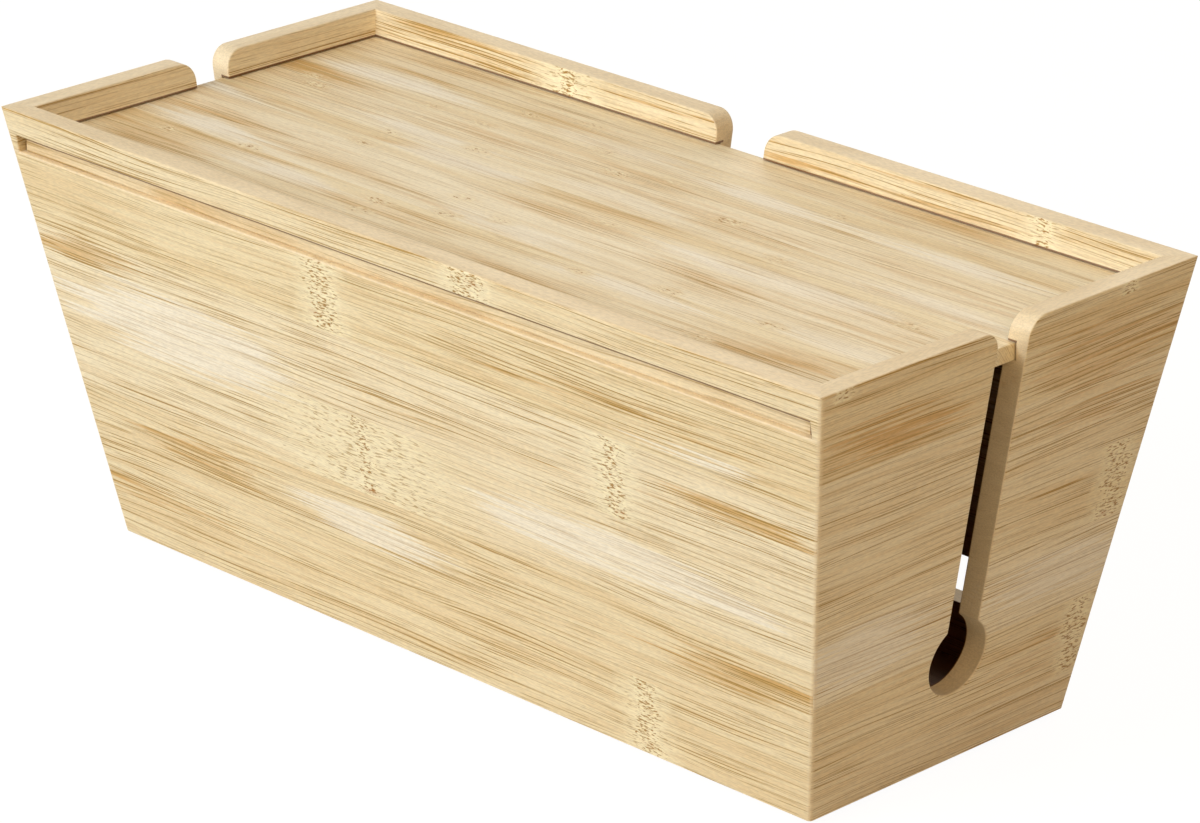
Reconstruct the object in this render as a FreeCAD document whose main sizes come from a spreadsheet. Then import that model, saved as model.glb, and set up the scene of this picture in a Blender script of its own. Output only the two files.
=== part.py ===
import FreeCAD, Part
import math
import os

import Sketcher

# Cable management box: four mitred walls that lean outward, a base panel in
# their lower rebate, and a flat lid that slides in grooves below the rim and
# leaves through a slot milled in the front wall.
# Frame: millimetres, +X to the right, front wall towards -Y, +Z up, origin
# under the middle of the box, on the surface that the feet stand on.

# Driving sizes: alias, value, meaning.
SIZES = (
    ("top_length", "320.5", "outside length at the rim"),
    ("top_depth", "146.0", "outside depth at the rim"),
    ("wall_height", "131.0", "height of the walls"),
    ("wall_flare", "22.5", "how far each wall leans out over its height"),
    ("wall_thickness", "7.1", "thickness of a wall, measured level"),
    ("corner_radius", "1.2", "rounding of the outer upright corners"),
    ("rim_radius", "0.5", "easing of the rim and of the slots' outer edges"),
    ("groove_drop", "7.9", "wood left between the rim and the lid groove"),
    ("groove_depth", "3.65", "depth of the lid groove in the end walls"),
    ("rear_groove_depth", "2.6", "depth of the lid groove in the rear wall"),
    ("lid_thickness", "4.8", "thickness of the lid"),
    ("lid_top_play", "0.3", "gap above the lid in its grooves"),
    ("lid_end_play", "0.6", "gap between the lid and each end groove"),
    ("lid_rear_play", "0.5", "gap behind the closed lid"),
    ("lid_front_recess", "2.3", "how far the closed lid's edge lies behind the front face"),
    ("lid_corner_radius", "1.0", "rounding of the lid's upright corners"),
    ("lid_edge_radius", "0.4", "easing of the lid's long edges"),
    ("end_slot_width", "12.0", "width of the cable slot in each end wall"),
    ("end_hole_radius", "11.0", "radius of the hole that the end slot runs into"),
    ("end_hole_height", "32.6", "height of the end hole's centre on the wall"),
    ("rear_slot_width", "18.5", "width of the cable slot in the rear wall"),
    ("rear_hole_radius", "15.0", "radius of the hole that the rear slot runs into"),
    ("rear_hole_height", "36.6", "height of the rear hole's centre on the wall"),
    ("slot_mouth_radius", "5.8", "rounding where a slot opens at the rim"),
    ("slot_neck_radius", "1.0", "rounding where a slot runs into its hole"),
    ("vent_sill", "21.2", "height of the rear cable vents' sill on the wall"),
    ("vent_height", "13.2", "height of the rear cable vents"),
    ("vent_near_end", "40.0", "distance from the middle to a vent's near end"),
    ("vent_far_end", "112.0", "distance from the middle to a vent's far end"),
    ("base_thickness", "6.0", "thickness of the base panel"),
    ("rebate_depth", "3.5", "how far the base panel reaches into a wall"),
    ("key_thickness", "1.6", "thickness of a corner key"),
    ("key_width", "5.0", "width of a corner key, across the mitre"),
    ("key_margin", "8.0", "wood left above and below a corner key"),
    ("foot_radius", "6.0", "radius of a foot"),
    ("foot_height", "2.0", "height of a foot"),
    ("foot_inset", "14.0", "distance from the base panel's edges to a foot's centre"),
    ("foot_edge_radius", "0.6", "easing of a foot's lower edge"),
    ("cut_overrun", "1.0", "how far a cut runs past the face that it leaves"),
)

# Sizes that follow from them: alias, formula, meaning.
DERIVED = (
    ("groove_height", "=lid_thickness + lid_top_play", "height of the lid groove"),
    ("groove_floor", "=wall_height - groove_drop - groove_height",
     "height of the lid groove's floor on the walls"),
    ("groove_setback", "=wall_flare * (1 - (groove_floor + groove_height / 2) / wall_height)",
     "how far the outer face at the groove lies inside the rim"),
    ("groove_half_length", "=top_length / 2 - groove_setback - wall_thickness + groove_depth",
     "from the middle to the end grooves' bottom"),
    ("groove_half_depth", "=top_depth / 2 - groove_setback - wall_thickness + rear_groove_depth",
     "from the middle to the rear groove's bottom"),
    ("lid_half_length", "=groove_half_length - lid_end_play",
     "from the middle to the lid's ends"),
    ("lid_rear_edge", "=groove_half_depth - lid_rear_play",
     "from the middle to the closed lid's rear edge"),
    ("lid_front_edge", "=top_depth / 2 - groove_setback - lid_front_recess",
     "from the middle to the closed lid's front edge"),
    ("panel_half_length", "=top_length / 2 - wall_flare - wall_thickness + rebate_depth",
     "from the middle to the base panel's ends"),
    ("panel_half_depth", "=top_depth / 2 - wall_flare - wall_thickness + rebate_depth",
     "from the middle to the base panel's long edges"),
    ("key_foot", "=base_thickness + key_margin", "height of a corner key's lower end"),
    ("key_top", "=groove_floor - key_margin", "height of a corner key's upper end"),
    ("vent_radius", "=vent_height / 2", "radius of a vent's round ends"),
)

# The mitre's angle in plan, in degrees, and the axis that the walls turn about.
MITRE_ANGLE = 45
UPRIGHT = FreeCAD.Vector(0, 0, 1)
# How near two places count as one.
TOLERANCE = 1e-4
# How much of a face's normal points to a side, at least, for the face to look that way.
FACING_SHARE = 0.9

document = FreeCAD.newDocument("cable_box")


def size_sheet():
    """The sheet that holds every driving size and what follows from them."""
    sheet = document.addObject("Spreadsheet::Sheet", "sizes")
    for row, (alias, content, meaning) in enumerate(SIZES + DERIVED, start=1):
        sheet.set(f"A{row}", meaning)
        sheet.set(f"B{row}", content)
        sheet.setAlias(f"B{row}", alias)
    document.recompute()
    return sheet


sizes = size_sheet()


def value(expression):
    """The present value of an expression in the sheet's sizes, in millimetres."""
    return float(sizes.evalExpression(expression.replace("sizes.", "")))


def new_body(label):
    """An empty body under its own name, raised on the feet."""
    body = document.addObject("PartDesign::Body", label)
    body.Label = label
    body.setExpression("Placement.Base.z", "sizes.foot_height")
    return body


def origin_plane(body, role):
    """One of the body's own origin planes."""
    return next(item for item in body.Origin.OriginFeatures if item.Role == role)


def new_sketch(body, name, role):
    """A sketch on one of the body's origin planes."""
    sketch = body.newObject("Sketcher::SketchObject", name)
    sketch.AttachmentSupport = (origin_plane(body, role), [""])
    sketch.MapMode = "FlatFace"
    return sketch


def bind(sketch, name, constraint, expression):
    """Add a sketch dimension that follows an expression."""
    number = sketch.addConstraint(Sketcher.Constraint(*constraint, value(expression)))
    sketch.renameConstraint(number, name)
    sketch.setExpression(f"Constraints.{name}", expression)


def join_ends(sketch, count):
    """Join each edge's end to the next one's start, and the last to the first."""
    edges = list(range(count))
    for edge, following in zip(edges, edges[1:] + edges[:1]):
        sketch.addConstraint(Sketcher.Constraint("Coincident", edge, 2, following, 1))


def polygon(sketch, corners):
    """A closed outline through corners that are each bound to two expressions."""
    points = [FreeCAD.Vector(value(across), value(up), 0) for across, up in corners]
    for start, end in zip(points, points[1:] + points[:1]):
        sketch.addGeometry(Part.LineSegment(start, end))
    join_ends(sketch, len(points))
    for corner, (across, up) in enumerate(corners):
        bind(sketch, f"across_{corner}", ("DistanceX", -1, 1, corner, 1), across)
        bind(sketch, f"up_{corner}", ("DistanceY", -1, 1, corner, 1), up)


def rectangle(sketch, left, right, low, high):
    """An upright rectangle between four bound sides."""
    polygon(sketch, ((left, low), (right, low), (right, high), (left, high)))


def circle(sketch, radius):
    """A circle of a bound radius, for the caller to place."""
    sketch.addGeometry(Part.Circle(FreeCAD.Vector(), UPRIGHT, value(radius)))
    bind(sketch, "radius", ("Radius", 0), radius)


def arc(sketch, centre, radius, start, end):
    """An arc of a circle between two angles in degrees."""
    whole = Part.Circle(centre, UPRIGHT, radius)
    sketch.addGeometry(Part.ArcOfCircle(whole, math.radians(start), math.radians(end)))


def round_ended_slot(sketch, near, far, middle, radius):
    """A level slot with round ends, between the centres of its two arcs."""
    left = FreeCAD.Vector(value(near), value(middle), 0)
    right = FreeCAD.Vector(value(far), value(middle), 0)
    rise = FreeCAD.Vector(0, value(radius), 0)
    sketch.addGeometry(Part.LineSegment(left - rise, right - rise))
    arc(sketch, right, value(radius), -90, 90)
    sketch.addGeometry(Part.LineSegment(right + rise, left + rise))
    arc(sketch, left, value(radius), 90, 270)
    join_ends(sketch, 4)
    for line, point, end in ((0, 2, 1), (2, 1, 1), (2, 2, 3), (0, 1, 3)):
        sketch.addConstraint(Sketcher.Constraint("Vertical", line, point, end, 3))
    for name, end, place in (("far", 1, far), ("near", 3, near)):
        bind(sketch, f"{name}_centre", ("DistanceX", -1, 1, end, 3), place)
        bind(sketch, f"{name}_height", ("DistanceY", -1, 1, end, 3), middle)
        bind(sketch, f"{name}_radius", ("Radius", end), radius)


def leaning_key(body, kind, name, along, across, sign_along, sign_across):
    """A thin key that stands across one mitre and leans with it, as a pad or as its slot."""
    sketch = new_sketch(body, f"{name}_plan", "XY_Plane")
    lean = "sizes.wall_flare * (1 - sizes.key_foot / sizes.wall_height)"
    inset = f"({lean} + sizes.wall_thickness / 2)"
    sketch.AttachmentOffset = FreeCAD.Placement(
        FreeCAD.Vector(), FreeCAD.Rotation(UPRIGHT, -MITRE_ANGLE * sign_along * sign_across)
    )
    sketch.setExpression("AttachmentOffset.Base.x", f"{sign_along} * (sizes.top_{along} / 2 - {inset})")
    sketch.setExpression("AttachmentOffset.Base.y", f"{sign_across} * (sizes.top_{across} / 2 - {inset})")
    sketch.setExpression("AttachmentOffset.Base.z", "sizes.key_foot")
    rectangle(
        sketch,
        "-sizes.key_width / 2", "sizes.key_width / 2",
        "-sizes.key_thickness / 2", "sizes.key_thickness / 2",
    )
    key = body.newObject(kind, name)
    key.Profile = sketch
    lean_along_corner(key, sign_along, sign_across)
    key.setExpression("Length", "sizes.key_top - sizes.key_foot")
    return key


def checked_cut(body, feature):
    """Recompute after a cut and stop if it took nothing away."""
    document.recompute()
    if not feature.Shape.Volume < feature.BaseFeature.Shape.Volume:
        raise RuntimeError(f"{body.Label}: {feature.Label} cuts nothing")


def cut_through(body, name, sketch):
    """Cut a sketch's outline right through the body, to both sides of the sketch."""
    pocket = body.newObject("PartDesign::Pocket", name)
    pocket.Profile = sketch
    pocket.SideType = "Symmetric"
    pocket.Type = "ThroughAll"
    checked_cut(body, pocket)
    return pocket


def ease(body, name, radius, edges):
    """Round some edges of the body's last feature."""
    last = body.Tip
    names = [
        f"Edge{number}"
        for number, edge in enumerate(last.Shape.Edges, start=1)
        if any(edge.isSame(chosen) for chosen in edges)
    ]
    fillet = body.newObject("PartDesign::Fillet", name)
    fillet.Base = (last, names)
    fillet.setExpression("Radius", radius)
    document.recompute()
    return fillet


def at_height(edge, expression):
    """Whether both ends of an edge lie at a height on the wall."""
    height = value(expression)
    return all(math.isclose(vertex.Z, height, abs_tol=TOLERANCE) for vertex in edge.Vertexes)


def slot_corners(body, offset):
    """The level edges that cross the wall at an offset to both sides of its middle."""
    corners = []
    for edge in body.Tip.Shape.Edges:
        ends = [vertex.Point for vertex in edge.Vertexes]
        beside = all(math.isclose(abs(end.x), value(offset), abs_tol=TOLERANCE) for end in ends)
        if beside and math.isclose(ends[0].z, ends[-1].z, abs_tol=TOLERANCE):
            corners.append(edge)
    return corners


def face_outline(shape, outward):
    """The edges of the faces that look to one side, but for the foot and the mitres."""
    edges = []
    for face in shape.Faces:
        if not isinstance(face.Surface, Part.Plane) or face.normalAt(0, 0).y * outward < FACING_SHARE:
            continue
        for edge in face.Edges:
            heights = [vertex.Z for vertex in edge.Vertexes]
            foot = max(heights) < TOLERANCE
            mitre = max(heights) - min(heights) > value("sizes.wall_height") - TOLERANCE
            if not foot and not mitre:
                edges.append(edge)
    return edges


def board(label, along, across, turn):
    """A mitred wall board, made as the front one and turned to its side of the box.

    It comes with the rebate for the base panel and the slots for the corner keys.
    """
    body = new_body(label)
    body.Placement = FreeCAD.Placement(FreeCAD.Vector(), FreeCAD.Rotation(UPRIGHT, turn))
    half_along = f"sizes.top_{along} / 2"
    half_across = f"sizes.top_{across} / 2"
    leaning_block(body, half_along, half_across)

    inner = new_sketch(body, "inner_face_section", "YZ_Plane")
    behind = f"{half_across} + sizes.cut_overrun"
    polygon(inner, (
        (f"-({half_across} - sizes.wall_flare - sizes.wall_thickness)", "0"),
        (behind, "0"),
        (behind, "sizes.wall_height"),
        (f"-({half_across} - sizes.wall_thickness)", "sizes.wall_height"),
    ))
    cut_through(body, "inner_face", inner)

    mitre = new_sketch(body, "mitre_plan", "XY_Plane")
    past_corner = "sizes.cut_overrun"
    past_foot = "(sizes.wall_flare + sizes.wall_thickness + sizes.cut_overrun)"
    polygon(mitre, (
        (f"{half_along} + {past_corner}", f"-({half_across} + {past_corner})"),
        (f"{half_along} + {past_corner}", f"-({half_across} - {past_foot})"),
        (f"{half_along} - {past_foot}", f"-({half_across} - {past_foot})"),
    ))
    mirrored(body, "far_mitre", cut_through(body, "mitre", mitre))

    panel = new_sketch(body, "panel_outline", "XY_Plane")
    rectangle(
        panel,
        f"-sizes.panel_half_{along}", f"sizes.panel_half_{along}",
        f"-sizes.panel_half_{across}", f"sizes.panel_half_{across}",
    )
    rebate = body.newObject("PartDesign::Pocket", "panel_rebate")
    rebate.Profile = panel
    rebate.Reversed = True
    rebate.setExpression("Length", "sizes.base_thickness")
    checked_cut(body, rebate)

    key_slot = leaning_key(body, "PartDesign::Pocket", "key_slot", along, across, 1, -1)
    checked_cut(body, key_slot)
    mirrored(body, "far_key_slot", key_slot)
    return body


def leaning_block(body, half_along, half_across):
    """The whole leaning outer form of the box, with sharp corners."""
    block = body.newObject("PartDesign::AdditiveWedge", "outer_form")
    block.AttachmentSupport = (origin_plane(body, "XZ_Plane"), [""])
    block.MapMode = "FlatFace"
    block.Ymin = 0
    block.setExpression("Ymax", "sizes.wall_height")
    for side, half in (("X", half_along), ("Z", half_across)):
        block.setExpression(f"{side}min", f"-({half} - sizes.wall_flare)")
        block.setExpression(f"{side}max", f"{half} - sizes.wall_flare")
        block.setExpression(f"{side}2min", f"-({half})")
        block.setExpression(f"{side}2max", half)


def ease_edges(body, along, across):
    """Ease the rim and the outer edges of the cut-outs, then round the mitred corners."""
    ease(body, "outer_edges", "sizes.rim_radius", face_outline(body.Tip.Shape, -1))
    inner_rim = [
        edge for edge in face_outline(body.Tip.Shape, 1) if at_height(edge, "sizes.wall_height")
    ]
    ease(body, "inner_rim", "sizes.rim_radius", inner_rim)

    sketch = new_sketch(body, "corner_plan", "XY_Plane")
    centre_across = f"sizes.top_{along} / 2 - sizes.wall_flare - sizes.corner_radius"
    centre_up = f"-(sizes.top_{across} / 2 - sizes.wall_flare - sizes.corner_radius)"
    clear = "sizes.corner_radius + sizes.cut_overrun"
    radius = value("sizes.corner_radius")
    outside = value(clear)
    centre = FreeCAD.Vector(value(centre_across), value(centre_up), 0)
    points = [
        centre + FreeCAD.Vector(*offset)
        for offset in ((radius, 0), (outside, 0), (outside, -outside), (0, -outside), (0, -radius))
    ]
    for start, end in zip(points, points[1:]):
        sketch.addGeometry(Part.LineSegment(start, end))
    arc(sketch, centre, radius, -90, 0)
    join_ends(sketch, len(points))
    for side, direction in enumerate(("Horizontal", "Vertical", "Horizontal", "Vertical")):
        sketch.addConstraint(Sketcher.Constraint(direction, side))
    sketch.addConstraint(Sketcher.Constraint("Horizontal", 0, 1, 4, 3))
    sketch.addConstraint(Sketcher.Constraint("Vertical", 3, 2, 4, 3))
    bind(sketch, "centre_across", ("DistanceX", -1, 1, 4, 3), centre_across)
    bind(sketch, "centre_up", ("DistanceY", -1, 1, 4, 3), centre_up)
    bind(sketch, "radius", ("Radius", 4), "sizes.corner_radius")
    bind(sketch, "clear_across", ("DistanceX", 4, 3, 1, 2), clear)
    bind(sketch, "clear_up", ("DistanceY", 1, 2, 4, 3), clear)
    rounding = body.newObject("PartDesign::Pocket", "corner_round")
    rounding.Profile = sketch
    lean_along_corner(rounding, 1, -1)
    rounding.setExpression("Length", "sizes.wall_height + sizes.cut_overrun")
    checked_cut(body, rounding)
    mirrored(body, "far_corner_round", rounding)


def lean_along_corner(feature, sign_along, sign_across):
    """Point a pad or pocket along the leaning edge of one corner, and measure it upright."""
    feature.UseCustomVector = True
    feature.AlongSketchNormal = True
    feature.setExpression("Direction.x", f"{sign_along} * sizes.wall_flare")
    feature.setExpression("Direction.y", f"{sign_across} * sizes.wall_flare")
    feature.setExpression("Direction.z", "sizes.wall_height")


def mirrored(body, name, feature):
    """Repeat a cut on the other side of the wall's middle."""
    copy = body.newObject("PartDesign::Mirrored", name)
    copy.Originals = [feature]
    copy.MirrorPlane = (origin_plane(body, "YZ_Plane"), [""])
    body.Tip = copy
    checked_cut(body, copy)


def lid_groove(body, across):
    """The level groove that carries the lid, in the wall's inner face."""
    sketch = new_sketch(body, "groove_section", "YZ_Plane")
    rectangle(
        sketch,
        f"-sizes.groove_half_{across}", f"sizes.groove_half_{across}",
        "sizes.groove_floor", "sizes.groove_floor + sizes.groove_height",
    )
    cut_through(body, "lid_groove", sketch)


def cable_slot(body, kind):
    """A slot open at the rim that drops into a round hole, with rounded mouth and neck."""
    slot = new_sketch(body, "slot_outline", "XZ_Plane")
    rectangle(
        slot,
        f"-sizes.{kind}_slot_width / 2", f"sizes.{kind}_slot_width / 2",
        f"sizes.{kind}_hole_height", "sizes.wall_height + sizes.cut_overrun",
    )
    cut_through(body, "drop_slot", slot)
    hole = new_sketch(body, "hole_outline", "XZ_Plane")
    circle(hole, f"sizes.{kind}_hole_radius")
    hole.addConstraint(Sketcher.Constraint("PointOnObject", 0, 3, -2))
    bind(hole, "height", ("DistanceY", -1, 1, 0, 3), f"sizes.{kind}_hole_height")
    cut_through(body, "round_hole", hole)

    mouth = [
        edge
        for edge in slot_corners(body, f"sizes.{kind}_slot_width / 2")
        if at_height(edge, "sizes.wall_height")
    ]
    ease(body, "slot_mouth", "sizes.slot_mouth_radius", mouth)
    corners = slot_corners(body, f"sizes.{kind}_slot_width / 2")
    lowest = min(edge.Vertexes[0].Z for edge in corners)
    neck = [edge for edge in corners if edge.Vertexes[0].Z < lowest + TOLERANCE]
    ease(body, "slot_neck", "sizes.slot_neck_radius", neck)


def front_wall():
    """The front wall, with the through-slot that the lid slides out of."""
    body = board("front_wall", "length", "depth", 0)
    sketch = new_sketch(body, "lid_slot_outline", "XZ_Plane")
    rectangle(
        sketch,
        "-sizes.groove_half_length", "sizes.groove_half_length",
        "sizes.groove_floor", "sizes.groove_floor + sizes.groove_height",
    )
    cut_through(body, "lid_slot", sketch)
    ease_edges(body, "length", "depth")


def end_wall(label, turn):
    """An end wall, with the lid's groove and a cable slot."""
    body = board(label, "depth", "length", turn)
    lid_groove(body, "length")
    cable_slot(body, "end")
    ease_edges(body, "depth", "length")


def rear_wall():
    """The rear wall, with the lid's groove, a wider cable slot and two low cable vents."""
    body = board("rear_wall", "length", "depth", 180)
    lid_groove(body, "depth")
    cable_slot(body, "rear")
    sketch = new_sketch(body, "vent_outline", "XZ_Plane")
    round_ended_slot(
        sketch,
        "sizes.vent_near_end + sizes.vent_radius", "sizes.vent_far_end - sizes.vent_radius",
        "sizes.vent_sill + sizes.vent_radius", "sizes.vent_radius",
    )
    vent = cut_through(body, "vent", sketch)
    mirrored(body, "far_vent", vent)
    ease_edges(body, "length", "depth")


def base_panel():
    """The panel in the walls' lower rebate."""
    body = new_body("base_panel")
    sketch = new_sketch(body, "panel_outline", "XY_Plane")
    rectangle(
        sketch,
        "-sizes.panel_half_length", "sizes.panel_half_length",
        "-sizes.panel_half_depth", "sizes.panel_half_depth",
    )
    pad = body.newObject("PartDesign::Pad", "panel")
    pad.Profile = sketch
    pad.setExpression("Length", "sizes.base_thickness")


def sliding_lid():
    """The lid board, closed, lying on the floor of its grooves."""
    body = new_body("sliding_lid")
    sketch = new_sketch(body, "lid_outline", "XY_Plane")
    sketch.setExpression("AttachmentOffset.Base.z", "sizes.groove_floor")
    rectangle(
        sketch,
        "-sizes.lid_half_length", "sizes.lid_half_length",
        "-sizes.lid_front_edge", "sizes.lid_rear_edge",
    )
    pad = body.newObject("PartDesign::Pad", "lid_board")
    pad.Profile = sketch
    pad.setExpression("Length", "sizes.lid_thickness")
    document.recompute()
    upright = [edge for edge in pad.Shape.Edges if edge.BoundBox.ZLength > edge.BoundBox.DiagonalLength / 2]
    corners = ease(body, "lid_corners", "sizes.lid_corner_radius", upright)
    level = [edge for edge in corners.Shape.Edges if edge.BoundBox.ZLength < TOLERANCE]
    ease(body, "lid_edges", "sizes.lid_edge_radius", level)


def corner_key(label, sign_along, sign_across):
    """A thin key glued across one mitre."""
    body = new_body(label)
    leaning_key(body, "PartDesign::Pad", "key", "length", "depth", sign_along, sign_across)


def foot(label, sign_along, sign_across):
    """A round non-slip foot stuck under the base panel near one corner."""
    body = document.addObject("PartDesign::Body", label)
    body.Label = label
    body.setExpression("Placement.Base.x", f"{sign_along} * (sizes.panel_half_length - sizes.foot_inset)")
    body.setExpression("Placement.Base.y", f"{sign_across} * (sizes.panel_half_depth - sizes.foot_inset)")
    sketch = new_sketch(body, "foot_outline", "XY_Plane")
    circle(sketch, "sizes.foot_radius")
    sketch.addConstraint(Sketcher.Constraint("Coincident", 0, 3, -1, 1))
    pad = body.newObject("PartDesign::Pad", "pad")
    pad.Profile = sketch
    pad.setExpression("Length", "sizes.foot_height")
    document.recompute()
    lower = [edge for edge in pad.Shape.Edges if edge.BoundBox.ZMax < TOLERANCE]
    ease(body, "lower_edge", "sizes.foot_edge_radius", lower)


def build():
    """Every piece of the box."""
    front_wall()
    rear_wall()
    end_wall("right_wall", 90)
    end_wall("left_wall", -90)
    base_panel()
    sliding_lid()
    for side, sign_along in (("left", -1), ("right", 1)):
        for end, sign_across in (("front", -1), ("rear", 1)):
            corner_key(f"corner_key_{end}_{side}", sign_along, sign_across)
            foot(f"foot_{end}_{side}", sign_along, sign_across)
    document.recompute()


def check():
    """Stop if any feature failed or any piece is empty, broken or in several lumps."""
    for item in document.Objects:
        if {"Invalid", "Error"} & set(item.State):
            raise RuntimeError(f"{item.FullName} did not compute")
    for body in pieces():
        if body.Shape.isNull() or not body.Shape.isValid() or len(body.Shape.Solids) != 1:
            raise RuntimeError(f"{body.Label} is not one sound solid")


def pieces():
    """The pieces of the box, each of them one body."""
    return document.findObjects("PartDesign::Body")


def write():
    """Write each piece to its own file."""
    os.makedirs("parts", exist_ok=True)
    for body in pieces():
        body.Shape.exportStep(f"parts/{body.Label}.step")


build()
check()
write()
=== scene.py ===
import math

import bmesh
import bpy
from bpy.props import FloatProperty, FloatVectorProperty, PointerProperty
from bpy.types import Operator, Panel, PropertyGroup
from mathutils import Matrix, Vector


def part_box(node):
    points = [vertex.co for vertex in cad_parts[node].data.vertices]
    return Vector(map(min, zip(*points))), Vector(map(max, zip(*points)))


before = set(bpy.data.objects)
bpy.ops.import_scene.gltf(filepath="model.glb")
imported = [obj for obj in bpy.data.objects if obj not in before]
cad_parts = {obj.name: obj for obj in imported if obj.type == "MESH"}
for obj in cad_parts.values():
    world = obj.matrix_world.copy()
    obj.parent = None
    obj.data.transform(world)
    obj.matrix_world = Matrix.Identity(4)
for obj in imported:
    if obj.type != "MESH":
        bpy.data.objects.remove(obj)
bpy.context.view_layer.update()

bl_info = {
    "name": "Cable management box",
    "version": (1, 0, 0),
    "blender": (4, 5, 0),
    "location": "3D View > Sidebar > Cable box",
    "description": "Finishes a bamboo cable management box and sets it in a plain studio",
    "category": "Object",
}

MILLIMETRE = 0.001
WALL_LOW, WALL_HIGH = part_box("front_wall")
WALL_HEIGHT = WALL_HIGH.z - WALL_LOW.z
HALF_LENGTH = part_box("right_wall")[1].x
HALF_DEPTH = -WALL_LOW.y

# The sizes of the waves of the grain's noises in millimetres: along the grain, across it and
# into the wood.
SWAY_SIZE = (110, 16, 14)
WAVE_SIZE = (7, 3, 3)
CLOUD_SIZE = (55, 9, 12)
KNOT_SIZE = (1.9, 0.55, 1)
KNIT_SIZE = (4.2, 0.5, 1.5)
SPECK_SIZE = (2, 0.36, 0.6)
RAGGED_SIZE = (6, 4, 4)
GRAIN_SIZE = (50, 0.9, 4)
LID_RAGGED_SIZE = (5, 2.2, 3)
STREAK_LENGTH = 120
STREAK_DEPTH = 9
HAIR_DEPTH = 2
LINE_DEPTH = 6
FEATHER_LENGTH = 300
FEATHER_DEPTH = 4

# How far those noises push the grain or a mask aside, in millimetres.
SWAY_REACH = 5
WAVE_REACH = 1.1
RAGGED_REACH = 12
FEATHER_REACH = 80
LID_RAGGED_REACH = (11, 3)
LID_DRIFT_REACH = (60, 7)
LID_FEATHER_REACH = 60

# The range of each noise over which its marks come up, from nothing to full.
STREAK_FADE = (0.4, 0.64)
CLOUD_FADE = (0.36, 0.64)
HAIR_FADE = (0.5, 0.66)
FINE_LINE_FADE = (0.46, 0.58)
LONG_LINE_FADE = (0.49, 0.58)
CORE_DASH_FADE = (0.55, 0.61)
HALO_DASH_FADE = (0.56, 0.62)
PALE_CORE_FADE = (0.46, 0.38)
PALE_HALO_FADE = (0.45, 0.37)
BROAD_FADE = (0.48, 0.68)

# How far apart in the noises two neighbouring boards, and two rows of lines, are read.
BOARD_STEP = 900
ROW_STEP = 11.3
ROW_STRENGTH_STEP = 7.31

# The fine and the long lines: pitch as a share of the fibres' pitch, thickness in millimetres
# and length as a share of the fibres' length. The hairs between them: their pitch's share.
FINE_LINES = (0.75, 0.26, 1.2)
LONG_LINES = (1.7, 0.3, 3.4)
HAIR_PITCH = 0.55

# How strongly the marks of a knuckle colour the wood where they are full.
GLOW_SHARE = 0.45
PALE_HALO_SHARE = 0.6
HALO_DASH_SHARE = 0.65
PALE_CORE_SHARE = 0.9
CORE_DASH_SHARE = 0.9

# Where the masks of a wall begin and end, in millimetres: past its corner, into it from its
# outer face, up it from its foot or, for its upper arris, from its rim.
CORNER_FADE = (-1.5, -0.6)
CORNER_DEPTH_FADE = (1.6, 1.1)
INNER_FACE_FADE = (6.7, 6.95)
LIP_FOOT_FADE = (118.5, 117.5)
INNER_SHADE_FADE = (112, 15)
GROOVE_FLOOR_FADE = (3.6, 3.8)
GROOVE_LINE = 123.25
GROOVE_LINE_FADE = (0.4, 0.25)
ARRIS_DEPTH_FADE = (0.8, 0.4)
ARRIS_RISE_FADE = (-0.8, -0.45)
LEDGE_HIGHLIGHT_FADE = (0.7, 0.3)
SLOT_MOUTH = 5.8
MOUTH_FADE = (-0.22, -0.08)
CUT_FADE = (0.2, 0.05)
CUT_SHARE = 0.72

# The same for the lid and the base panel, whose depth runs up from the floor.
LID_TOP = 124.8
LID_FRONT_FADE = (-68.5, -68.85)
LID_END_FADE = (149.5, 152.5)
LID_UPPER_EDGE_FADE = (123.3, 123.6)
LID_RIGHT_EDGE_FADE = (152.6, 153)
LID_LEFT_SHADE_FADE = (-90, -152)
BASE_TOP_FADE = (7, 7.6)
LID_CORE_SIZE = (6.5, 3.2)
LID_DARK_SIZE = (34, 5)
LID_PALE_SIZE = (34, 5.5)

# Each lamp of the studio: its size and its place, in metres.
LAMPS = {
    "key": (1.0, (-0.4, -1.6, 1.0)),
    "overhead": (1.4, (0.1, 0.1, 1.9)),
    "side": (1.0, (1.5, -0.5, 1.2)),
    "rear": (1.2, (-0.9, 1.5, 0.9)),
}
LAMP_AIM = (0, 0, 0.07)
FLOOR_REACH = 6
BUMP_DEPTH = 0.05


def paint(red, green, blue):
    """A colour as the eye sees it, from 0 to 255, as the linear colour that a shader takes."""
    return tuple(
        share / 12.92 if share <= 0.04045 else ((share + 0.055) / 1.055) ** 2.4
        for share in (red / 255, green / 255, blue / 255)
    )


def colour_property(name, description, seen):
    """A colour that the user can change, whose default is given as the eye sees it."""
    return FloatVectorProperty(
        name=name, description=description, subtype="COLOR", size=3, min=0, max=1,
        default=paint(*seen),
    )


def length_property(name, description, millimetres):
    """A length that the user can change, with its default in millimetres."""
    return FloatProperty(
        name=name, description=description, subtype="DISTANCE", unit="LENGTH", min=0, precision=5,
        default=millimetres * MILLIMETRE,
    )


def share_property(name, description, default):
    """A share from nothing to all."""
    return FloatProperty(
        name=name, description=description, subtype="FACTOR", min=0, max=1, default=default
    )


def strength_property(name, description, default, least=0):
    """A plain number that the user can change."""
    return FloatProperty(name=name, description=description, min=least, default=default)


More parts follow.
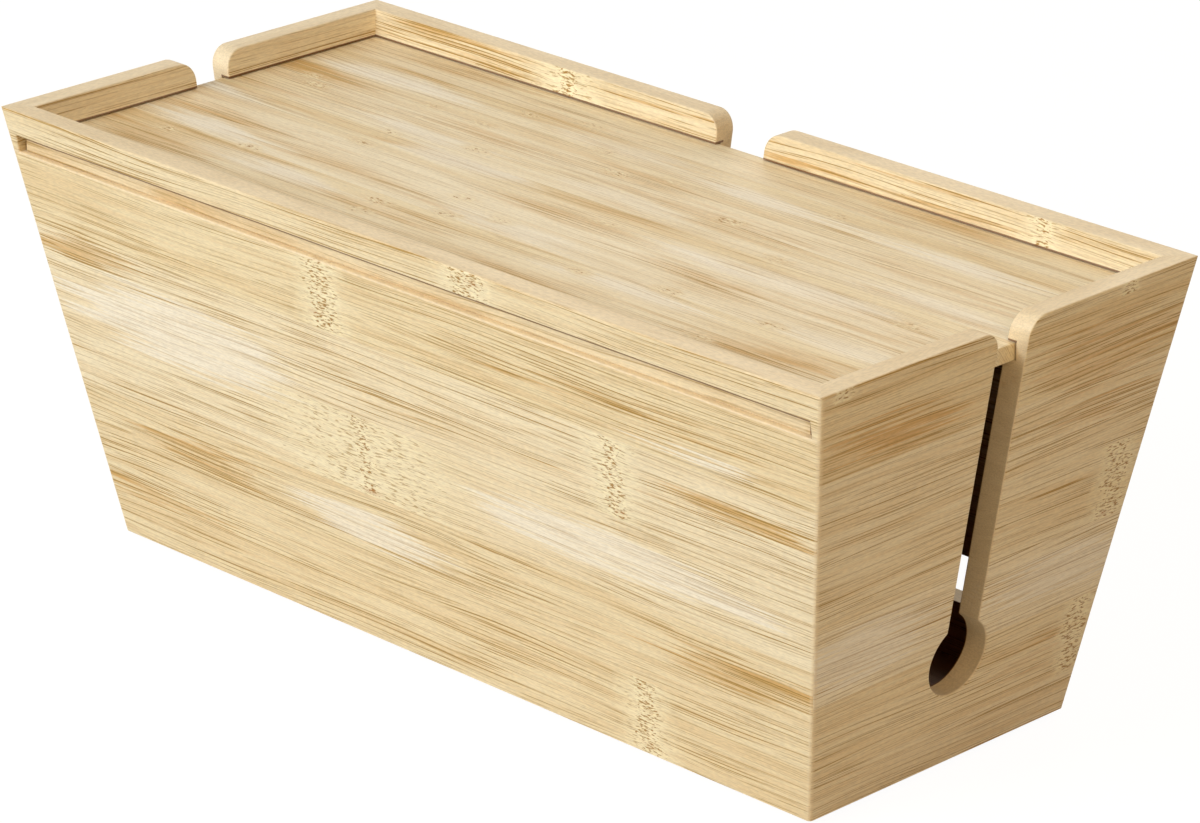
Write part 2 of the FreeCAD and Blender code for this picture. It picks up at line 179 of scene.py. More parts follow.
class BambooLooks(PropertyGroup):
    """The colours and the grain of the bamboo boards."""

    pale: colour_property("Pale wood", "Lightest colour of the wood", (251, 238, 208))
    plain: colour_property("Plain wood", "Usual colour of the wood", (241, 221, 176))
    honey: colour_property("Honey wood", "Colour of the broad darker streaks", (216, 174, 108))
    fibre: colour_property("Fibre", "Colour of the fine dark fibres", (174, 136, 62))
    knuckle: colour_property("Knuckle", "Darkest flecks of the knuckles", (166, 120, 30))
    bleached: colour_property("Bleached wood", "Palest greyish streaks", (252, 243, 224))
    fleck: colour_property("Fleck", "Palest flecks of the knuckles", (255, 243, 205))
    spot: colour_property("Spot", "Scorched spots at the knuckles", (176, 116, 48))
    # Edge is the sanded wood's colour and also the colour of the painted highlights along the ledge
    # and the rounded corners.
    edge: colour_property("Edge", "Sanded rims and rounded corners", (246, 225, 188))
    # Painted shadow: the dark colour laid along the gaps between the lid and its grooves.
    seam: colour_property("Seam", "Shadowed gaps between the lid and its grooves", (104, 56, 12))
    # Painted shade: the colour multiplied over the inner faces, the base panel's top and the lid's
    # front edge.
    inside: colour_property("Inside", "Tint of the unlit inner faces", (158, 116, 88))
    lean: length_property("Wall flare", "How far a wall leans out over its height", 22.5)
    fibre_pitch: length_property("Fibre pitch", "Distance from one fine fibre to the next", 1.0)
    fibre_length: length_property("Fibre length", "Usual length of a fine fibre", 30)
    lid_strip: length_property("Lid strip width", "Width of the strips of the lid", 6.2)
    roughness: share_property("Roughness", "Roughness of the oiled surface", 0.5)


class StudioLooks(PropertyGroup):
    """The camera, the lamps and the floor."""

    azimuth: FloatProperty(
        name="Azimuth", description="Camera's turn round the box from the front",
        subtype="ANGLE", unit="ROTATION", default=math.radians(45.227),
    )
    elevation: FloatProperty(
        name="Elevation", description="Camera's height over the horizon",
        subtype="ANGLE", unit="ROTATION", default=math.radians(21.65),
    )
    distance: length_property("Distance", "From the camera to the point that it looks at", 1469.3)
    aim: FloatVectorProperty(
        name="Aim", description="The point that the camera looks at",
        subtype="TRANSLATION", unit="LENGTH", size=3, default=(0.0211, -0.01166, 0.07325),
    )
    lens: strength_property("Lens", "Focal length in millimetres", 160.6, 1)
    sensor: strength_property("Sensor", "Sensor width in millimetres", 36, 1)
    key: strength_property("Key lamp", "Power of the front lamp", 29)
    key_colour: colour_property("Key colour", "Colour of the front lamp", (246, 251, 255))
    overhead: strength_property("Overhead lamp", "Power of the top lamp", 3.4)
    overhead_colour: colour_property("Overhead colour", "Colour of the top lamp", (243, 249, 255))
    side: strength_property("Side lamp", "Power of the right lamp", 10.2)
    side_colour: colour_property("Side colour", "Colour of the right lamp", (255, 221, 176))
    rear: strength_property("Rear lamp", "Power of the rear lamp", 6.2)
    rear_colour: colour_property("Rear colour", "Colour of the rear lamp", (255, 240, 218))
    room: share_property("Room light", "Strength of the even light of the room", 0.12)
    room_colour: colour_property("Room colour", "Colour of the even light", (255, 246, 230))
    floor: colour_property("Floor", "Colour of the floor", (208, 198, 180))
    floor_glow: share_property("Floor glow", "Share of the floor that shows plain white", 0.8)
    floor_white: strength_property("Floor white", "Strength of that plain white", 1.19)


class Signal:
    """A shader socket that takes part in sums, so that node maths reads as plain expressions."""

    def __init__(self, graph, socket):
        self.graph = graph
        self.socket = socket

    def maths(self, operation, *others):
        """A Math node on this socket and the others."""
        return self.graph.maths(operation, self, *others)

    def __add__(self, other):
        return self.maths("ADD", other)

    def __radd__(self, other):
        return self.graph.maths("ADD", other, self)

    def __sub__(self, other):
        return self.maths("SUBTRACT", other)

    def __rsub__(self, other):
        return self.graph.maths("SUBTRACT", other, self)

    def __mul__(self, other):
        return self.maths("MULTIPLY", other)

    def __rmul__(self, other):
        return self.graph.maths("MULTIPLY", other, self)

    def __truediv__(self, other):
        return self.maths("DIVIDE", other)

    def __abs__(self):
        return self.maths("ABSOLUTE")

    def clamped(self):
        """This socket kept from 0 to 1."""
        return self.maths("MINIMUM", 1).maths("MAXIMUM", 0)


class Graph:
    """The node tree of a new material, or the one that is given, built up call by call."""

    def __init__(self, name=None, tree=None):
        if tree is None:
            self.material = bpy.data.materials.new(name)
            self.material.use_nodes = True
            tree = self.material.node_tree
        self.tree = tree
        self.tree.nodes.clear()

    def node(self, kind, settings=None, inputs=None):
        """A node of a type, with its settings and then the values or links of its sockets."""
        made = self.tree.nodes.new(kind)
        for name, setting in (settings or {}).items():
            if name == "stops":
                self.set_stops(made.color_ramp, setting)
            else:
                setattr(made, name, setting)
        for name, value in (inputs or {}).items():
            if isinstance(value, Signal):
                self.tree.links.new(value.socket, made.inputs[name])
            else:
                made.inputs[name].default_value = value
        return made

    @staticmethod
    def set_stops(ramp, stops):
        """Give a ramp its stops, each a place and a colour."""
        while len(ramp.elements) > 1:
            ramp.elements.remove(ramp.elements[-1])
        for number, (place, colour) in enumerate(stops):
            element = ramp.elements[0] if number == 0 else ramp.elements.new(place)
            element.position = place
            element.color = (*colour, 1)

    def signal(self, node, output=0):
        """One output of a node as a signal."""
        return Signal(self, node.outputs[output])

    def maths(self, operation, *values):
        """A Math node on up to three values."""
        settings = {"operation": operation}
        return self.signal(self.node("ShaderNodeMath", settings, dict(enumerate(values))))

    def vector(self, x, y, z):
        """A vector from three numbers or sockets."""
        return self.signal(self.node("ShaderNodeCombineXYZ", None, {"X": x, "Y": y, "Z": z}))

    def smooth(self, value, low, high, start=0, end=1):
        """A smooth step from start at low to end at high."""
        settings = {"interpolation_type": "SMOOTHSTEP"}
        if low > high:
            low, high, start, end = high, low, end, start
        inputs = {"Value": value, "From Min": low, "From Max": high, "To Min": start, "To Max": end}
        return self.signal(self.node("ShaderNodeMapRange", settings, inputs))

    def noise(self, vector, detail=2.0, roughness=0.5):
        """Noise with one wave to each unit of the vector."""
        inputs = {"Vector": vector, "Scale": 1, "Detail": detail, "Roughness": roughness}
        return self.signal(self.node("ShaderNodeTexNoise", {"noise_dimensions": "3D"}, inputs))

    def waves(self, point, size, detail=2.0, roughness=0.5):
        """Noise whose waves have a size along each axis of the point."""
        scaled = [axis / length for axis, length in zip(point, size)]
        return self.noise(self.vector(*scaled), detail, roughness)

    def mix(self, factor, first, second, blend="MIX"):
        """A mix of two colours."""
        settings = {"data_type": "RGBA", "blend_type": blend}
        colours = [c if isinstance(c, Signal) else (*c, 1) for c in (first, second)]
        inputs = {"Factor": factor, 6: colours[0], 7: colours[1]}
        return self.signal(self.node("ShaderNodeMix", settings, inputs), 2)

    def span(self, x, y, place=(0, 0)):
        """How far a point of a plane lies from a place on it."""
        inputs = {0: self.vector(x, y, 0), 1: (*place, 0)}
        return self.signal(self.node("ShaderNodeVectorMath", {"operation": "DISTANCE"}, inputs), 1)

    def parts(self, vector):
        """The three numbers of a vector."""
        split = self.node("ShaderNodeSeparateXYZ", None, {"Vector": vector})
        return [self.signal(split, axis) for axis in range(3)]

    def place(self):
        """The place in the box's own frame, in millimetres, as three signals."""
        coordinates = self.node("ShaderNodeTexCoord")
        return [part / MILLIMETRE for part in self.parts(self.signal(coordinates, "Object"))]

    def finish(self, colour, roughness, relief):
        """The shader itself, with its relief, at the end of the tree."""
        bump = self.node("ShaderNodeBump", None, {
            "Strength": 1, "Distance": BUMP_DEPTH * MILLIMETRE, "Height": relief,
        })
        shader = self.node("ShaderNodeBsdfPrincipled", None, {
            "Base Color": colour, "Roughness": roughness, "Normal": self.signal(bump),
        })
        self.node("ShaderNodeOutputMaterial", None, {"Surface": self.signal(shader)})
        return self.material


def lines(graph, place, pitch, thickness, length, fade):
    """Thin lines along the grain, one to each row of the board, that fade in and out.

    Place is the point along the grain, across it and into the wood. Fade is the range of a noise
    over which a line comes up, so that most rows show only parts of theirs.
    """
    along, level, depth = place
    row = level / pitch
    number = row.maths("FLOOR")
    shifted = graph.noise(graph.vector(number * ROW_STEP, 0.5, 2.1), 0)
    off = abs(row.maths("FRACT") - 0.5 - (shifted - 0.5) * 1.2)
    half = thickness / pitch / 2
    point = (number * ROW_STRENGTH_STEP, along, depth)
    strength = graph.waves(point, (1, length, LINE_DEPTH), 1)
    return graph.smooth(off, half * 1.4, half * 0.5) * graph.smooth(strength, *fade)


def patches(graph, plane, places):
    """Soft oval patches on a board, each with its place, half size and strength."""
    total = None
    for along, rise, half_along, half_rise, strength in places:
        squares = [
            ((axis - centre) / half).maths("POWER", 2)
            for axis, centre, half in zip(plane, (along, rise), (half_along, half_rise))
        ]
        patch = graph.smooth(squares[0] + squares[1], 1, 0, 0, strength)
        total = patch if total is None else total.maths("MAXIMUM", patch)
    return total


def streaky(graph, mask, grain):
    """A soft mask broken up into streaks by a noise that is drawn out along the grain."""
    broken = graph.smooth(mask + (grain - 0.5) * 2, 0.3, 0.65) * graph.smooth(mask, 0, 0.2)
    return broken * graph.smooth(grain, 0.36, 0.56, 0.6, 1)


def scatter(graph, plane, half_size, places):
    """Soft ovals of one size on a board, each with its place and strength."""
    scaled = [axis / half for axis, half in zip(plane, half_size)]
    ovals = []
    for along, rise, strength in places:
        away = graph.span(*scaled, (along / half_size[0], rise / half_size[1]))
        ovals.append(graph.smooth(away, 1.15, 0.2, 0, strength))
    total = ovals[0]
    for oval in ovals[1:]:
        total = total.maths("MAXIMUM", oval)
    return total


def grained(graph, looks, board):
    """The colour, roughness and relief of bamboo, from the places and masks of one board.

    Along, rise and depth are in millimetres: along the grain, across it on the board's face, and
    into the wood. The masks say where a knuckle's core and its broken fibres lie (core, halo),
    where the wood is darker, bleached or scorched (stain, clear, spot), where it is sanded
    or carries a painted highlight (plain), and where painted shade or a painted shadow darkens it
    (inside, seam). The darker mask also holds painted shade on some boards.
    """
    along, rise, depth = board["along"], board["rise"], board["depth"]
    core, halo, stain, clear = (board[name] for name in ("core", "halo", "stain", "clear"))
    plain, knuckles = board["plain"], board["knuckles"]
    shift = along + board["seed"] * BOARD_STEP
    near = core.maths("MAXIMUM", halo)

    sway = graph.waves((shift, rise, depth), SWAY_SIZE, 1)
    wave = graph.waves((along, rise, depth), WAVE_SIZE, 1)
    level = rise + (sway - 0.5) * SWAY_REACH + (wave - 0.5) * near * WAVE_REACH
    place = (shift, level, depth)
    streak = graph.waves(place, (STREAK_LENGTH, board["streak_width"], STREAK_DEPTH), 2, 0.6)
    streak = graph.smooth(streak, *STREAK_FADE)
    cloud = graph.smooth(graph.waves(place, CLOUD_SIZE), *CLOUD_FADE)

    pitch = looks.fibre_pitch / MILLIMETRE
    length = looks.fibre_length / MILLIMETRE
    hairs = graph.waves(place, (length, pitch * HAIR_PITCH, HAIR_DEPTH), 1, 0.6)
    hairs = graph.smooth(hairs, *HAIR_FADE)
    fine, long = (
        lines(graph, place, pitch * apart, thickness, length * reach, fade)
        for (apart, thickness, reach), fade in (
            (FINE_LINES, FINE_LINE_FADE), (LONG_LINES, LONG_LINE_FADE)
        )
    )
    strong = (0.42 + 0.45 * cloud + 1.2 * stain) * (1 - clear * 0.5)
    fibres = (hairs * 0.35 * (0.5 + cloud * 0.5 + stain * 0.6)).maths("MAXIMUM", fine * strong)
    fibres = fibres.maths("MAXIMUM", long * (strong + 0.1) * 1.2 * (1 - core))
    fibres = (fibres * board["fibres"] * (1 - near * 0.35) * (1 - plain * 0.8)).clamped()

    knot = graph.waves((along, level, depth), KNOT_SIZE, 1, 0.6)
    knit = graph.waves((along, level, depth), KNIT_SIZE, 1, 0.6)
    core_dash = graph.smooth(knot + (core - 1) * 0.35, *CORE_DASH_FADE)
    halo_dash = graph.smooth(knit + (halo - 1) * 0.22, *HALO_DASH_FADE)
    pale_core = graph.smooth(knot, *PALE_CORE_FADE) * core
    pale_halo = graph.smooth(knit, *PALE_HALO_FADE) * halo
    speck = graph.waves((along, rise, depth), SPECK_SIZE, 1)

    tone = board["tone"] * (1 - clear * 0.8)
    honey = streak * (0.08 + 0.3 * tone) * board["streaks"] + stain * (0.38 + 0.35 * streak)
    colour = graph.mix(tone, looks.pale, looks.plain)
    for share, shade in (
        ((honey * (1 - clear * 0.6)).clamped(), looks.honey),
        (clear * board["bleach"], looks.bleached),
        (fibres, looks.fibre),
        (near * GLOW_SHARE * knuckles, looks.fleck),
        (pale_halo * PALE_HALO_SHARE * knuckles, looks.fleck),
        (halo_dash * HALO_DASH_SHARE * knuckles, looks.fibre),
        (pale_core * PALE_CORE_SHARE * knuckles, looks.fleck),
        (core_dash * CORE_DASH_SHARE * knuckles, looks.knuckle),
        (board["spot"] * (0.3 + 0.5 * core_dash), looks.spot),
        # The paler sanded colour, which also paints the highlights along the ledge and the corners.
        (plain, looks.edge),
    ):
        colour = graph.mix(share, colour, shade)
    grey = graph.smooth(speck, 0.28, 0.72, 0.91, 1.05) - streak * plain * 0.05
    colour = graph.mix(1, colour, graph.vector(grey, grey, grey), "MULTIPLY")
    # Painted shade multiplied over the inner faces and recesses.
    colour = graph.mix(board["inside"], colour, looks.inside, "MULTIPLY")
    # Painted shadow laid into the gaps between the lid and its grooves.
    if "seam" in board:
        colour = graph.mix(board["seam"], colour, looks.seam)

    relief = 1 - (fibres * 0.5 + core_dash * 0.2 + speck * 0.25)
    rough = looks.roughness + fibres * 0.12 + (streak - 0.5) * 0.08
    return graph.finish(colour, rough, relief)


# Each wall, in millimetres along it and up it from its foot: the axis of its grain and the side
# that it faces; the strips it is glued up from (upper edge, tone); its knuckles (place along it,
# number of the strip, half width, reach of the broken fibres); its darker patches, its bleached
# ones and its scorched spots (place along and up, half length, half height, strength); the half
# width of its cable slot, the hole that the slot runs into (height, radius), its low openings
# (middle, half of the straight run, height, radius of the ends) and the ledge under the lid, where
# a highlight is painted. The seed sets its grain apart from the other walls'.
WALLS = {
    "front_wall": {
        "axis": 0, "facing": -1,
        "strips": ((23.5, 0.7), (47.5, 0.65), (72, 0.35), (96, 0.3), (120, 0.75), (131, 0.6)),
        "knuckles": ((80, 0, 4.5, 12), (-21, 2, 3.5, 46), (79, 3, 4, 12), (-29, 4, 6, 12),
                     (32, 5, 8, 14)),
        "patches": ((-95, 38, 36, 7, 0.8), (122, 37, 40, 7, 1.0), (122, 86, 32, 6, 0.8),
                    (-135, 92, 34, 6, 0.7), (-118, 17, 34, 5, 0.8), (80, 106, 90, 7, 0.4),
                    (20, 79, 60, 5, 0.3), (30, 10, 50, 5, 0.3)),
        "clears": ((-95, 76, 62, 15, 1.0), (75, 60, 70, 9, 0.9), (-25, 36, 42, 8, 0.8),
                   (110, 100, 30, 5, 0.4)),
        "spots": ((-20, 49, 5, 1.3, 1.0), (-33, 101, 3, 1.5, 0.6), (81, 74, 3, 1.4, 0.6),
                  (79, 3, 3, 1.2, 0.5), (35, 128, 4, 1.2, 0.6)),
        "ledge": 118, "seed": 0.31,
    },
    "rear_wall": {
        "axis": 0, "facing": 1,
        "strips": ((17, 0.5), (41, 0.8), (65, 0.3), (89, 0.7), (113, 0.4), (131, 0.55)),
        "knuckles": ((52, 0, 5, 12), (-96, 1, 5, 12), (8, 2, 4, 16), (118, 3, 5, 10),
                     (-44, 4, 5, 18), (-70, 5, 5, 16), (112, 5, 3, 8)),
        "patches": ((-120, 30, 36, 7, 0.7), (60, 54, 40, 6, 0.6), (-20, 78, 50, 6, 0.5),
                    (120, 102, 34, 6, 0.7), (20, 122, 60, 5, 0.5),
                    (-120, 127, 50, 7, 0.4), (80, 127, 70, 7, 0.3), (-30, 127, 60, 6, 0.25)),
        "clears": ((-60, 50, 60, 12, 0.8), (90, 80, 60, 8, 0.8)),
        "spots": ((52, 3, 4, 1.3, 0.7), (8, 43, 4, 1.3, 0.6), (-44, 92, 4, 1.3, 0.8)),
        "slot": 9.25, "hole": (36.6, 15), "vent": (76, 29.4, 27.8, 6.6), "seed": 0.57,
    },
    "right_wall": {
        "axis": 1, "facing": 1,
        "strips": ((12, 0.6), (35.5, 0.75), (58.5, 0.15), (81.5, 0.6), (104.5, 0.55), (127.5, 0.95),
                   (131, 0.8)),
        "knuckles": ((48.5, 1, 5, 8), (53.5, 3, 6, 10), (-64, 6, 3, 5), (45, 6, 3, 5)),
        "patches": ((40, 113, 38, 13, 1.1), (45, 95, 30, 7, 0.6), (-40, 113, 34, 11, 0.6),
                    (32, 24, 26, 9, 0.4), (30, 75, 26, 6, 0.3)),
        "clears": ((-40, 48, 34, 12, 1.0), (40, 47, 40, 11, 0.8)),
        "spots": ((52, 60, 3, 1.4, 0.6), (49, 13, 3, 1.2, 0.5)),
        "slot": 6, "hole": (32.6, 11), "seed": 0.83,
    },
    "left_wall": {
        "axis": 1, "facing": -1,
        "strips": ((20, 0.7), (43.5, 0.4), (67, 0.8), (90, 0.3), (113, 0.6), (131, 0.2)),
        "knuckles": ((-30, 0, 4, 8), (40, 1, 4, 10), (-44, 3, 5, 12), (30, 4, 4, 9)),
        "patches": ((30, 56, 30, 7, 0.7), (-36, 78, 26, 6, 0.5), (34, 120, 30, 6, 0.4)),
        "clears": ((-20, 30, 40, 9, 0.8), (30, 100, 34, 8, 0.7)),
        "spots": ((-44, 69, 4, 1.3, 0.7), (40, 22, 3, 1.2, 0.6)),
        "slot": 6, "hole": (32.6, 11), "seed": 0.12,
    },
}


def cut_faces_and_ledge_highlight(graph, plane, height, wall):
    """A mask of the cut faces of a wall's slot, its hole and its openings, and of a painted
    highlight along its ledge.
    """
    along, rise = plane
    no_slot = -900

    def near_cut(distance, radius):
        return graph.smooth(distance, radius + CUT_FADE[0], radius + CUT_FADE[1])

    outside = SLOT_MOUTH - (abs(along) - wall.get("slot", no_slot))
    above = rise - (height - SLOT_MOUTH)
    from_round = graph.span(outside.maths("MAXIMUM", 0), above.maths("MAXIMUM", 0))
    mask = graph.smooth(from_round, SLOT_MOUTH + MOUTH_FADE[0], SLOT_MOUTH + MOUTH_FADE[1])
    if "hole" in wall:
        level, radius = wall["hole"]
        mask = mask * graph.smooth(rise, level - 0.5, level)
        mask = mask.maths("MAXIMUM", near_cut(graph.span(along, rise, (0, level)), radius))
    if "vent" in wall:
        middle, half_run, level, radius = wall["vent"]
        run = abs(abs(along) - middle) - half_run
        from_vent = graph.span(run.maths("MAXIMUM", 0), rise - level)
        mask = mask.maths("MAXIMUM", near_cut(from_vent, radius))
    # Painted highlight: a paler band along the ledge under the lid.
    if "ledge" in wall:
        mask = mask.maths("MAXIMUM", graph.smooth(abs(rise - wall["ledge"]), *LEDGE_HIGHLIGHT_FADE))
    return mask * CUT_SHARE


def wall_knuckles(graph, wall, tops, point):
    """The masks of a wall's knuckles and of the broken fibres round them."""
    along, rise, depth = point
    ragged = graph.waves(point, RAGGED_SIZE, 3, 0.7)
    ragged_along = along + (ragged - 0.5) * RAGGED_REACH
    core = halo = None
    for centre, strip, half_width, reach in wall["knuckles"]:
        middle = (tops[strip] + tops[strip + 1]) / 2
        half_rise = (tops[strip + 1] - tops[strip]) / 2
        within = graph.smooth(abs(rise - middle) / half_rise, 1.02, 0.97)
        away = abs(ragged_along - centre)
        inner = graph.smooth(away / half_width, 1.5, 0.5) * within
        outer = graph.smooth(away / reach, 1.15, 0.25) * within
        core = inner if core is None else core.maths("MAXIMUM", inner)
        halo = outer if halo is None else halo.maths("MAXIMUM", outer)
    return core, halo


def wall_material(name, wall, looks):
    """The bamboo of one wall, with its strips, knuckles and darker patches."""
    graph = Graph(f"bamboo_{name}")
    place = graph.place()
    height = WALL_HEIGHT / MILLIMETRE
    lean = looks.lean / MILLIMETRE / height
    halves = (HALF_LENGTH / MILLIMETRE, HALF_DEPTH / MILLIMETRE)
    half_along, half_rim = halves[wall["axis"]], halves[1 - wall["axis"]]
    along = place[wall["axis"]]
    rise = place[2] - WALL_LOW.z / MILLIMETRE
    outward = place[1 - wall["axis"]] * wall["facing"]
    drawn_in = lean * (height - rise)
    depth = half_rim - drawn_in - outward
    point = (along, rise, depth)
    plane = (along, rise)

    feather = graph.waves((rise, along, depth), (0.9, FEATHER_LENGTH, FEATHER_DEPTH), 1)
    feathered = (along + (feather - 0.5) * FEATHER_REACH, rise)
    grain = graph.waves(point, GRAIN_SIZE, 2, 0.6)
    stain = streaky(graph, patches(graph, feathered, wall["patches"]), grain)
    clear = streaky(graph, patches(graph, feathered, wall["clears"]), 1 - grain)

    past_corner = abs(along) - (half_along - drawn_in)
    # The rounded outer corner takes the paler sanded colour, which also serves as a painted
    # highlight along it.
    corner = graph.smooth(past_corner, *CORNER_FADE, 0, 0.35)
    corner = corner * graph.smooth(depth, *CORNER_DEPTH_FADE)
    # Painted shade: the inner faces under the lips darken, more towards the bottom.
    inside = graph.smooth(depth, *INNER_FACE_FADE) * graph.smooth(rise, *LIP_FOOT_FADE)
    inside = inside * graph.smooth(rise, *INNER_SHADE_FADE, 0.35, 1)
    # Painted shadow: a thin dark line along the foot of each lip over the lid.
    groove = graph.smooth(abs(rise - GROOVE_LINE), *GROOVE_LINE_FADE)
    groove = groove * graph.smooth(depth, *GROOVE_FLOOR_FADE)
    # Painted shade: a tan band along the upper arris that dims the highlight its rounding catches.
    # It joins the darker mask and takes off some of the paler colour.
    arris = graph.smooth(rise - height, *ARRIS_RISE_FADE)
    arris = arris * graph.smooth(depth, *ARRIS_DEPTH_FADE)
    plain = corner.maths("MAXIMUM", cut_faces_and_ledge_highlight(graph, plane, height, wall))

    tops = [0] + [top for top, tone in wall["strips"]]
    stops = [
        (low / height, (tone, (wall["seed"] + number * 0.37) % 1, 0))
        for number, (low, (top, tone)) in enumerate(zip(tops, wall["strips"]))
    ]
    ramp = graph.node("ShaderNodeValToRGB", {"stops": stops}, {"Fac": rise / height})
    ramp.color_ramp.interpolation = "CONSTANT"
    tone, seed = graph.parts(graph.signal(ramp))[:2]
    core, halo = wall_knuckles(graph, wall, tops, point)
    return grained(graph, looks, {
        "along": along, "rise": rise, "depth": depth, "seed": seed, "tone": tone, "core": core,
        "halo": halo, "stain": stain.maths("MAXIMUM", arris * 0.45), "clear": clear,
        "spot": patches(graph, plane, wall["spots"]), "streak_width": 3.2, "bleach": 0.8,
        "streaks": 1, "fibres": 1, "knuckles": 1, "plain": plain * (1 - arris * 0.25),
        "inside": inside, "seam": groove * 0.85,
    })


# The knuckles of the lid's strips: place in millimetres and strength.
LID_KNUCKLES = (
    (-137, 26, 0.9), (-130, 21, 1.2), (-66, 46, 0.9), (-45, 52, 0.9), (-28, 38, 0.9),
    (-12, 27, 1.0), (3, 33, 0.6), (39, 21, 1.4), (-55, 14, 0.9), (-83, 7, 0.8), (69, 8, 0.8),
    (57, 45, 0.8), (-82, -5, 0.9), (16, -4, 0.8), (127, -4, 0.9), (-27, -17, 1.0),
    (-7, -23, 0.8), (-20, -30, 0.9), (-100, -30, 1.1), (-130, -36, 0.9), (-42, -36, 1.1),
    (38, -36, 0.8), (102, -29, 0.9), (64, -30, 0.9), (95, -48, 0.8), (-92, 31, 0.7),
    (-70, 30, 0.8), (-40, -44, 0.8),
)
# The lid's broad darker streaks and then its paler ones: place in millimetres and strength.
LID_DARK = (
    (-130, -16, 0.9), (-128, -46, 1.1), (-46, 50, 0.6), (-10, 29, 0.5), (34, 20, 0.5), (12, 2, 0.6),
    (64, -17, 0.8), (120, -46, 1.0), (-4, -9, 0.6), (-30, -40, 0.7), (84, 60, 0.6), (-110, 59, 0.6),
    (112, -6, 0.5), (-140, 30, 0.8), (-60, 24, 0.5), (100, 26, 0.4), (-70, -22, 0.5), (30, 56, 0.4),
    (20, -50, 0.5),
)
LID_PALE = (
    (-114, 41, 1.0), (35, 40, 0.9), (106, 39, 0.9), (-152, -1, 1.0), (-81, 13, 0.8),
    (-120, -25, 1.0), (-52, 3, 0.8), (54, -6, 0.9), (92, -3, 0.7), (58, -36, 0.8),
    (0, -26, 0.6), (-78, -38, 0.8), (-20, 44, 0.5), (120, 12, 0.6), (10, 14, 0.5),
    (130, -28, 0.5),
)


def lid_material(name, looks, seed_start, base):
    """The bamboo of a board glued up from narrow strips, whose small knuckles lie scattered."""
    graph = Graph(name)
    point = along, rise, depth = graph.place()
    width = looks.lid_strip / MILLIMETRE
    strip = (rise / width + 40).maths("FLOOR")
    settings = {"noise_dimensions": "1D"}
    random = graph.node("ShaderNodeTexWhiteNoise", settings, {"W": strip + seed_start})
    tone, seed = graph.parts(graph.signal(random, "Color"))[::2]

    ragged = graph.waves(point, LID_RAGGED_SIZE, 2, 0.6)
    drift = graph.noise(graph.vector(along / 40, rise / 7, depth / 3 + 5), 2, 0.6)
    feather = graph.waves((rise, along, depth), (1.2, FEATHER_LENGTH, FEATHER_DEPTH), 1)
    near_plane = [
        axis + (ragged - 0.5) * reach for axis, reach in zip((along, rise), LID_RAGGED_REACH)
    ]
    wide_plane = [
        axis + (drift - 0.5) * reach for axis, reach in zip((along, rise), LID_DRIFT_REACH)
    ]
    wide_plane[0] = wide_plane[0] + (feather - 0.5) * LID_FEATHER_REACH
    core = scatter(graph, near_plane, LID_CORE_SIZE, LID_KNUCKLES).maths("MINIMUM", 1)
    dark = scatter(graph, wide_plane, LID_DARK_SIZE, LID_DARK)
    pale = scatter(graph, wide_plane, LID_PALE_SIZE, LID_PALE)
    broad = graph.noise(graph.vector(along / 60 + seed * 1.5, rise / 6, 0), 2, 0.6)
    stain = graph.smooth(broad, *BROAD_FADE, 0, 0.5).maths("MAXIMUM", dark * 1.15)
    # Painted shade: the lid darkens towards its left end, where the left wall's lip shades it.
    stain = stain + core * 0.95 + graph.smooth(along, *LID_LEFT_SHADE_FADE, 0, 0.45)
    board = {
        "along": along, "rise": rise + (depth - LID_TOP) * 0.8, "depth": depth, "seed": seed,
        "tone": 0.1 + tone * 0.8, "core": core, "halo": core * 0.5, "stain": stain,
        "clear": pale * (1 - core), "spot": core * 0.3, "streak_width": 6, "bleach": 0.75,
        "streaks": 0.8, "fibres": 0.5, "knuckles": 1, "plain": 0, "inside": 0,
    }
    if base:
        # Painted shade: the base panel's upper face is darkened like the inner faces of the walls.
        board["inside"] = graph.smooth(depth, *BASE_TOP_FADE)
    else:
        front = graph.smooth(rise, *LID_FRONT_FADE)
        # Painted shade: the lid's front edge darkens where it runs into the ends of the front slot.
        # The whole front edge also takes a little more of the darker colour.
        corner = graph.smooth(abs(along), *LID_END_FADE, 0, 0.4)
        board["stain"] = (stain + front * 0.1).maths("MAXIMUM", corner * front)
        # Painted shadow: a dark line along the top of the lid's front edge and down its right end,
        # where the front slot's top and end shade it.
        right_edge = graph.smooth(along, *LID_RIGHT_EDGE_FADE)
        seam = graph.smooth(depth, *LID_UPPER_EDGE_FADE).maths("MAXIMUM", right_edge)
        board["seam"] = seam * front * 0.8
        # Painted shade on the lid's front edge, where the front slot's top overhangs it.
        board["inside"] = front * 0.08
    return grained(graph, looks, board)


def rubber_material():
    """Matt black rubber with a fine moulded grain and a little dust."""
    graph = Graph("foot_rubber")
    point = graph.place()
    grain = graph.waves(point, (0.35, 0.35, 0.35), 3)
    dust = graph.smooth(graph.waves(point, (3, 3, 3), 3), 0.45, 0.7)
    colour = graph.mix(dust * 0.3, paint(38, 37, 36), paint(92, 86, 78))
    return graph.finish(colour, 0.72 + dust * 0.15, grain)


def wear(node, material):
    """Give a piece of the box its finish."""
    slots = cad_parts[node].material_slots
    for slot in slots:
        slot.material = material
    if not slots:
        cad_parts[node].data.materials.append(material)


class CABLEBOX_OT_walls(Operator):
    """Finish the four walls in bamboo"""

    bl_idname = "cablebox.walls"
    bl_label = "Walls"

    def execute(self, context):
        looks = context.scene.cablebox_bamboo
        for name, wall in WALLS.items():
            wear(name, wall_material(name, wall, looks))
        return {"FINISHED"}


